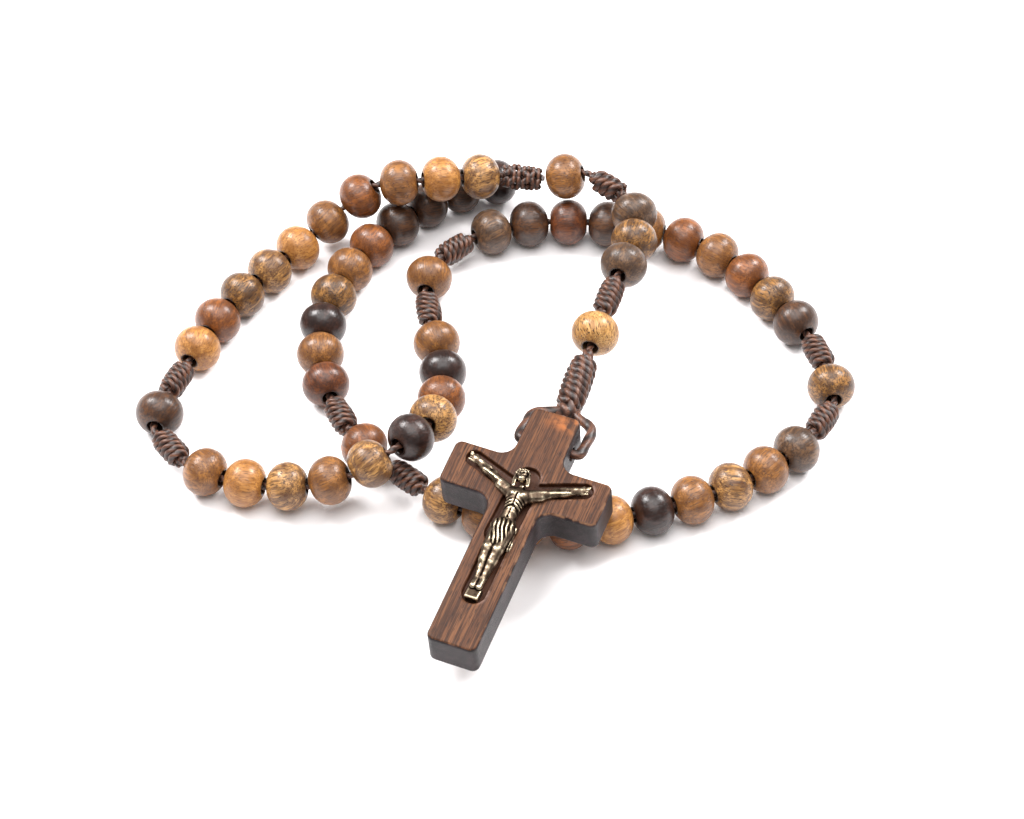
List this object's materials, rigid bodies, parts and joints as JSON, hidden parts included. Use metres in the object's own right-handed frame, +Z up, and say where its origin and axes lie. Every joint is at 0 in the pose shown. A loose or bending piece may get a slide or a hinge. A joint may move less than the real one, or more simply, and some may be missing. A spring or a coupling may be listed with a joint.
{
  "type": "rosary",
  "caption": "Corded wooden rosary lying in an open loop, with ten-bead decades, wrapped knots and a pendant ending in a wooden crucifix with a cast metal figure.",
  "frame": {"origin": "on the table under the middle of the beads, knots and crucifix", "axes": "+Z up from the table; +Y from the crucifix towards the junction knot; +X to the right of the viewer who stands at the crucifix"},
  "size_m": [0.119, 0.1135, 0.0175],
  "materials": {
    "bead_wood": "satin lacquer over streaked olive wood",
    "cord": "waxed twisted cord",
    "cross_wood": "dark stained and rubbed",
    "corpus_brass": "antique, dark in the hollows"
  },
  "bodies": {
    "loop": {"loop_cord": "cord", "loop_knots": "cord", "loop_our_father_beads": "bead_wood"},
    "pendant": {"pendant_cord": "cord", "pendant_our_father_beads": "bead_wood"},
    "crucifix": {"crucifix_cross": "cross_wood", "corpus": "corpus_brass"},
    "pendant_bead_01": {"pendant_bead_01": "bead_wood"},
    "pendant_bead_02": {"pendant_bead_02": "bead_wood"},
    "pendant_bead_03": {"pendant_bead_03": "bead_wood"},
    "decade_1_bead_01": {"decade_1_bead_01": "bead_wood"},
    "decade_1_bead_02": {"decade_1_bead_02": "bead_wood"},
    "decade_1_bead_03": {"decade_1_bead_03": "bead_wood"},
    "decade_1_bead_04": {"decade_1_bead_04": "bead_wood"},
    "decade_1_bead_05": {"decade_1_bead_05": "bead_wood"},
    "decade_1_bead_06": {"decade_1_bead_06": "bead_wood"},
    "decade_1_bead_07": {"decade_1_bead_07": "bead_wood"},
    "decade_1_bead_08": {"decade_1_bead_08": "bead_wood"},
    "decade_1_bead_09": {"decade_1_bead_09": "bead_wood"},
    "decade_1_bead_10": {"decade_1_bead_10": "bead_wood"},
    "decade_2_bead_01": {"decade_2_bead_01": "bead_wood"},
    "decade_2_bead_02": {"decade_2_bead_02": "bead_wood"},
    "decade_2_bead_03": {"decade_2_bead_03": "bead_wood"},
    "decade_2_bead_04": {"decade_2_bead_04": "bead_wood"},
    "decade_2_bead_05": {"decade_2_bead_05": "bead_wood"},
    "decade_2_bead_06": {"decade_2_bead_06": "bead_wood"},
    "decade_2_bead_07": {"decade_2_bead_07": "bead_wood"},
    "decade_2_bead_08": {"decade_2_bead_08": "bead_wood"},
    "decade_2_bead_09": {"decade_2_bead_09": "bead_wood"},
    "decade_2_bead_10": {"decade_2_bead_10": "bead_wood"},
    "decade_3_bead_01": {"decade_3_bead_01": "bead_wood"},
    "decade_3_bead_02": {"decade_3_bead_02": "bead_wood"},
    "decade_3_bead_03": {"decade_3_bead_03": "bead_wood"},
    "decade_3_bead_04": {"decade_3_bead_04": "bead_wood"},
    "decade_3_bead_05": {"decade_3_bead_05": "bead_wood"},
    "decade_3_bead_06": {"decade_3_bead_06": "bead_wood"},
    "decade_3_bead_07": {"decade_3_bead_07": "bead_wood"},
    "decade_3_bead_08": {"decade_3_bead_08": "bead_wood"},
    "decade_3_bead_09": {"decade_3_bead_09": "bead_wood"},
    "decade_3_bead_10": {"decade_3_bead_10": "bead_wood"},
    "decade_4_bead_01": {"decade_4_bead_01": "bead_wood"},
    "decade_4_bead_02": {"decade_4_bead_02": "bead_wood"},
    "decade_4_bead_03": {"decade_4_bead_03": "bead_wood"},
    "decade_4_bead_04": {"decade_4_bead_04": "bead_wood"},
    "decade_4_bead_05": {"decade_4_bead_05": "bead_wood"},
    "decade_4_bead_06": {"decade_4_bead_06": "bead_wood"},
    "decade_4_bead_07": {"decade_4_bead_07": "bead_wood"},
    "decade_4_bead_08": {"decade_4_bead_08": "bead_wood"},
    "decade_4_bead_09": {"decade_4_bead_09": "bead_wood"},
    "decade_4_bead_10": {"decade_4_bead_10": "bead_wood"},
    "decade_5_bead_01": {"decade_5_bead_01": "bead_wood"},
    "decade_5_bead_02": {"decade_5_bead_02": "bead_wood"},
    "decade_5_bead_03": {"decade_5_bead_03": "bead_wood"},
    "decade_5_bead_04": {"decade_5_bead_04": "bead_wood"},
    "decade_5_bead_05": {"decade_5_bead_05": "bead_wood"},
    "decade_5_bead_06": {"decade_5_bead_06": "bead_wood"},
    "decade_5_bead_07": {"decade_5_bead_07": "bead_wood"},
    "decade_5_bead_08": {"decade_5_bead_08": "bead_wood"},
    "decade_5_bead_09": {"decade_5_bead_09": "bead_wood"},
    "decade_5_bead_10": {"decade_5_bead_10": "bead_wood"}
  },
  "joints": [
    {"name": "pendant_lift", "type": "hinge", "parent": "loop", "child": "pendant", "pos_m": [0.00836, 0.04743, 0.01], "axis": [-1, 0, 0], "range_deg": [0, 110]},
    {"name": "crucifix_swing", "type": "hinge", "parent": "pendant", "child": "crucifix", "pos_m": [0.00826, -0.01779, 0.01303], "axis": [-0.9272, 0.3746, 0], "range_deg": [0, 90]},
    {"name": "pendant_bead_01_spin", "type": "hinge", "parent": "pendant", "child": "pendant_bead_01", "pos_m": [0.02349, 0.03688, 0.01178], "axis": [0.1702, -0.9849, 0.0331], "continuous": true},
    {"name": "pendant_bead_02_spin", "type": "hinge", "parent": "pendant", "child": "pendant_bead_02", "pos_m": [0.02328, 0.02984, 0.01222], "axis": [-0.2287, -0.9694, 0.0898], "continuous": true},
    {"name": "pendant_bead_03_spin", "type": "hinge", "parent": "pendant", "child": "pendant_bead_03", "pos_m": [0.02129, 0.02319, 0.01303], "axis": [-0.3392, -0.93, 0.1417], "continuous": true},
    {"name": "decade_1_bead_01_spin", "type": "hinge", "parent": "loop", "child": "decade_1_bead_01", "pos_m": [-0.00304, 0.04698, 0.01117], "axis": [-0.9708, -0.2067, 0.1218], "continuous": true},
    {"name": "decade_1_bead_02_spin", "type": "hinge", "parent": "loop", "child": "decade_1_bead_02", "pos_m": [-0.00988, 0.04548, 0.01197], "axis": [-0.9705, -0.2176, 0.1043], "continuous": true},
    {"name": "decade_1_bead_03_spin", "type": "hinge", "parent": "loop", "child": "decade_1_bead_03", "pos_m": [-0.01708, 0.04464, 0.01189], "axis": [-0.9907, -0.0023, -0.1363], "continuous": true},
    {"name": "decade_1_bead_04_spin", "type": "hinge", "parent": "loop", "child": "decade_1_bead_04", "pos_m": [-0.02392, 0.04398, 0.00929], "axis": [-0.8009, -0.1785, -0.5716], "continuous": true},
    {"name": "decade_1_bead_05_spin", "type": "hinge", "parent": "loop", "child": "decade_1_bead_05", "pos_m": [-0.02964, 0.0412, 0.00581], "axis": [-0.7292, -0.5872, -0.3514], "continuous": true},
    {"name": "decade_1_bead_06_spin", "type": "hinge", "parent": "loop", "child": "decade_1_bead_06", "pos_m": [-0.03471, 0.03628, 0.00427], "axis": [-0.6471, -0.7605, -0.0542], "continuous": true},
    {"name": "decade_1_bead_07_spin", "type": "hinge", "parent": "loop", "child": "decade_1_bead_07", "pos_m": [-0.03928, 0.0308, 0.00404], "axis": [-0.6318, -0.7751, -0.0095], "continuous": true},
    {"name": "decade_1_bead_08_spin", "type": "hinge", "parent": "loop", "child": "decade_1_bead_08", "pos_m": [-0.04364, 0.02515, 0.004], "axis": [-0.5865, -0.8099, 0], "continuous": true},
    {"name": "decade_1_bead_09_spin", "type": "hinge", "parent": "loop", "child": "decade_1_bead_09", "pos_m": [-0.04741, 0.01901, 0.004], "axis": [-0.4517, -0.8922, 0], "continuous": true},
    {"name": "decade_1_bead_10_spin", "type": "hinge", "parent": "loop", "child": "decade_1_bead_10", "pos_m": [-0.05035, 0.01247, 0.004], "axis": [-0.3611, -0.9325, 0], "continuous": true},
    {"name": "decade_2_bead_01_spin", "type": "hinge", "parent": "loop", "child": "decade_2_bead_01", "pos_m": [-0.04702, -0.01509, 0.004], "axis": [0.8953, -0.4455, 0], "continuous": true},
    {"name": "decade_2_bead_02_spin", "type": "hinge", "parent": "loop", "child": "decade_2_bead_02", "pos_m": [-0.04045, -0.01756, 0.00411], "axis": [0.9681, -0.2484, 0.0322], "continuous": true},
    {"name": "decade_2_bead_03_spin", "type": "hinge", "parent": "loop", "child": "decade_2_bead_03", "pos_m": [-0.03354, -0.01867, 0.00459], "axis": [0.9925, -0.063, 0.1046], "continuous": true},
    {"name": "decade_2_bead_04_spin", "type": "hinge", "parent": "loop", "child": "decade_2_bead_04", "pos_m": [-0.02667, -0.01868, 0.006], "axis": [0.9516, 0.0628, 0.301], "continuous": true},
    {"name": "decade_2_bead_05_spin", "type": "hinge", "parent": "loop", "child": "decade_2_bead_05", "pos_m": [-0.02025, -0.01716, 0.00833], "axis": [0.8549, 0.3759, 0.3577], "continuous": true},
    {"name": "decade_2_bead_06_spin", "type": "hinge", "parent": "loop", "child": "decade_2_bead_06", "pos_m": [-0.01374, -0.0126, 0.00956], "axis": [0.6492, 0.7483, -0.1364], "continuous": true},
    {"name": "decade_2_bead_07_spin", "type": "hinge", "parent": "loop", "child": "decade_2_bead_07", "pos_m": [-0.01039, -0.00665, 0.00754], "axis": [0.2575, 0.8716, -0.4171], "continuous": true},
    {"name": "decade_2_bead_08_spin", "type": "hinge", "parent": "loop", "child": "decade_2_bead_08", "pos_m": [-0.0091, -0.00013, 0.00522], "axis": [0.1038, 0.9666, -0.2344], "continuous": true},
    {"name": "decade_2_bead_09_spin", "type": "hinge", "parent": "loop", "child": "decade_2_bead_09", "pos_m": [-0.00901, 0.00683, 0.00419], "axis": [-0.0843, 0.9951, -0.052], "continuous": true},
    {"name": "decade_2_bead_10_spin", "type": "hinge", "parent": "loop", "child": "decade_2_bead_10", "pos_m": [-0.01016, 0.01374, 0.004], "axis": [-0.2453, 0.9695, 0], "continuous": true},
    {"name": "decade_3_bead_01_spin", "type": "hinge", "parent": "loop", "child": "decade_3_bead_01", "pos_m": [-0.00113, 0.04054, 0.004], "axis": [0.9097, 0.4152, 0], "continuous": true},
    {"name": "decade_3_bead_02_spin", "type": "hinge", "parent": "loop", "child": "decade_3_bead_02", "pos_m": [0.00553, 0.04255, 0.004], "axis": [0.9879, 0.1553, 0], "continuous": true},
    {"name": "decade_3_bead_03_spin", "type": "hinge", "parent": "loop", "child": "decade_3_bead_03", "pos_m": [0.0124, 0.04303, 0.004], "axis": [0.9998, -0.0184, 0], "continuous": true},
    {"name": "decade_3_bead_04_spin", "type": "hinge", "parent": "loop", "child": "decade_3_bead_04", "pos_m": [0.01924, 0.04253, 0.004], "axis": [0.9918, -0.1275, 0], "continuous": true},
    {"name": "decade_3_bead_05_spin", "type": "hinge", "parent": "loop", "child": "decade_3_bead_05", "pos_m": [0.02598, 0.04116, 0.004], "axis": [0.9631, -0.2691, 0], "continuous": true},
    {"name": "decade_3_bead_06_spin", "type": "hinge", "parent": "loop", "child": "decade_3_bead_06", "pos_m": [0.03241, 0.03857, 0.004], "axis": [0.88, -0.4749, 0], "continuous": true},
    {"name": "decade_3_bead_07_spin", "type": "hinge", "parent": "loop", "child": "decade_3_bead_07", "pos_m": [0.03814, 0.03472, 0.004], "axis": [0.7707, -0.6372, 0], "continuous": true},
    {"name": "decade_3_bead_08_spin", "type": "hinge", "parent": "loop", "child": "decade_3_bead_08", "pos_m": [0.04299, 0.02979, 0.004], "axis": [0.6258, -0.78, 0], "continuous": true},
    {"name": "decade_3_bead_09_spin", "type": "hinge", "parent": "loop", "child": "decade_3_bead_09", "pos_m": [0.047, 0.02424, 0.004], "axis": [0.5425, -0.8401, 0], "continuous": true},
    {"name": "decade_3_bead_10_spin", "type": "hinge", "parent": "loop", "child": "decade_3_bead_10", "pos_m": [0.0506, 0.01846, 0.004], "axis": [0.5136, -0.858, 0], "continuous": true},
    {"name": "decade_4_bead_01_spin", "type": "hinge", "parent": "loop", "child": "decade_4_bead_01", "pos_m": [0.04877, -0.01022, 0.004], "axis": [-0.7185, -0.6955, 0], "continuous": true},
    {"name": "decade_4_bead_02_spin", "type": "hinge", "parent": "loop", "child": "decade_4_bead_02", "pos_m": [0.04349, -0.01464, 0.004], "axis": [-0.8122, -0.5833, 0], "continuous": true},
    {"name": "decade_4_bead_03_spin", "type": "hinge", "parent": "loop", "child": "decade_4_bead_03", "pos_m": [0.03764, -0.01825, 0.004], "axis": [-0.886, -0.4636, 0], "continuous": true},
    {"name": "decade_4_bead_04_spin", "type": "hinge", "parent": "loop", "child": "decade_4_bead_04", "pos_m": [0.03137, -0.02105, 0.004], "axis": [-0.9365, -0.3506, 0], "continuous": true},
    {"name": "decade_4_bead_05_spin", "type": "hinge", "parent": "loop", "child": "decade_4_bead_05", "pos_m": [0.02492, -0.02328, 0.004], "axis": [-0.9533, -0.3022, 0], "continuous": true},
    {"name": "decade_4_bead_06_spin", "type": "hinge", "parent": "loop", "child": "decade_4_bead_06", "pos_m": [0.01838, -0.02519, 0.004], "axis": [-0.9657, -0.2596, 0], "continuous": true},
    {"name": "decade_4_bead_07_spin", "type": "hinge", "parent": "loop", "child": "decade_4_bead_07", "pos_m": [0.01156, -0.02632, 0.004], "axis": [-0.9979, -0.064, 0], "continuous": true},
    {"name": "decade_4_bead_08_spin", "type": "hinge", "parent": "loop", "child": "decade_4_bead_08", "pos_m": [0.00465, -0.02598, 0.004], "axis": [-0.9864, 0.1642, 0], "continuous": true},
    {"name": "decade_4_bead_09_spin", "type": "hinge", "parent": "loop", "child": "decade_4_bead_09", "pos_m": [-0.00202, -0.02415, 0.004], "axis": [-0.9323, 0.3616, 0], "continuous": true},
    {"name": "decade_4_bead_10_spin", "type": "hinge", "parent": "loop", "child": "decade_4_bead_10", "pos_m": [-0.00819, -0.02105, 0.004], "axis": [-0.8453, 0.5343, 0], "continuous": true},
    {"name": "decade_5_bead_01_spin", "type": "hinge", "parent": "loop", "child": "decade_5_bead_01", "pos_m": [-0.0284, 0.00424, 0.004], "axis": [-0.2623, 0.965, 0], "continuous": true},
    {"name": "decade_5_bead_02_spin", "type": "hinge", "parent": "loop", "child": "decade_5_bead_02", "pos_m": [-0.02963, 0.01106, 0.004], "axis": [-0.0893, 0.996, 0], "continuous": true},
    {"name": "decade_5_bead_03_spin", "type": "hinge", "parent": "loop", "child": "decade_5_bead_03", "pos_m": [-0.02949, 0.01801, 0.004], "axis": [0.1311, 0.9914, 0], "continuous": true},
    {"name": "decade_5_bead_04_spin", "type": "hinge", "parent": "loop", "child": "decade_5_bead_04", "pos_m": [-0.02799, 0.02477, 0.004], "axis": [0.3039, 0.9527, 0], "continuous": true},
    {"name": "decade_5_bead_05_spin", "type": "hinge", "parent": "loop", "child": "decade_5_bead_05", "pos_m": [-0.02543, 0.03119, 0.004], "axis": [0.4355, 0.9002, 0], "continuous": true},
    {"name": "decade_5_bead_06_spin", "type": "hinge", "parent": "loop", "child": "decade_5_bead_06", "pos_m": [-0.02191, 0.03715, 0.004], "axis": [0.5801, 0.8145, 0], "continuous": true},
    {"name": "decade_5_bead_07_spin", "type": "hinge", "parent": "loop", "child": "decade_5_bead_07", "pos_m": [-0.01754, 0.0425, 0.004], "axis": [0.6824, 0.731, 0], "continuous": true},
    {"name": "decade_5_bead_08_spin", "type": "hinge", "parent": "loop", "child": "decade_5_bead_08", "pos_m": [-0.01251, 0.04722, 0.004], "axis": [0.7751, 0.6318, 0], "continuous": true},
    {"name": "decade_5_bead_09_spin", "type": "hinge", "parent": "loop", "child": "decade_5_bead_09", "pos_m": [-0.00671, 0.05103, 0.004], "axis": [0.8886, 0.4587, 0], "continuous": true},
    {"name": "decade_5_bead_10_spin", "type": "hinge", "parent": "loop", "child": "decade_5_bead_10", "pos_m": [-0.00007, 0.05304, 0.00422], "axis": [0.9924, 0.1049, 0.0646], "continuous": true}
  ]
}
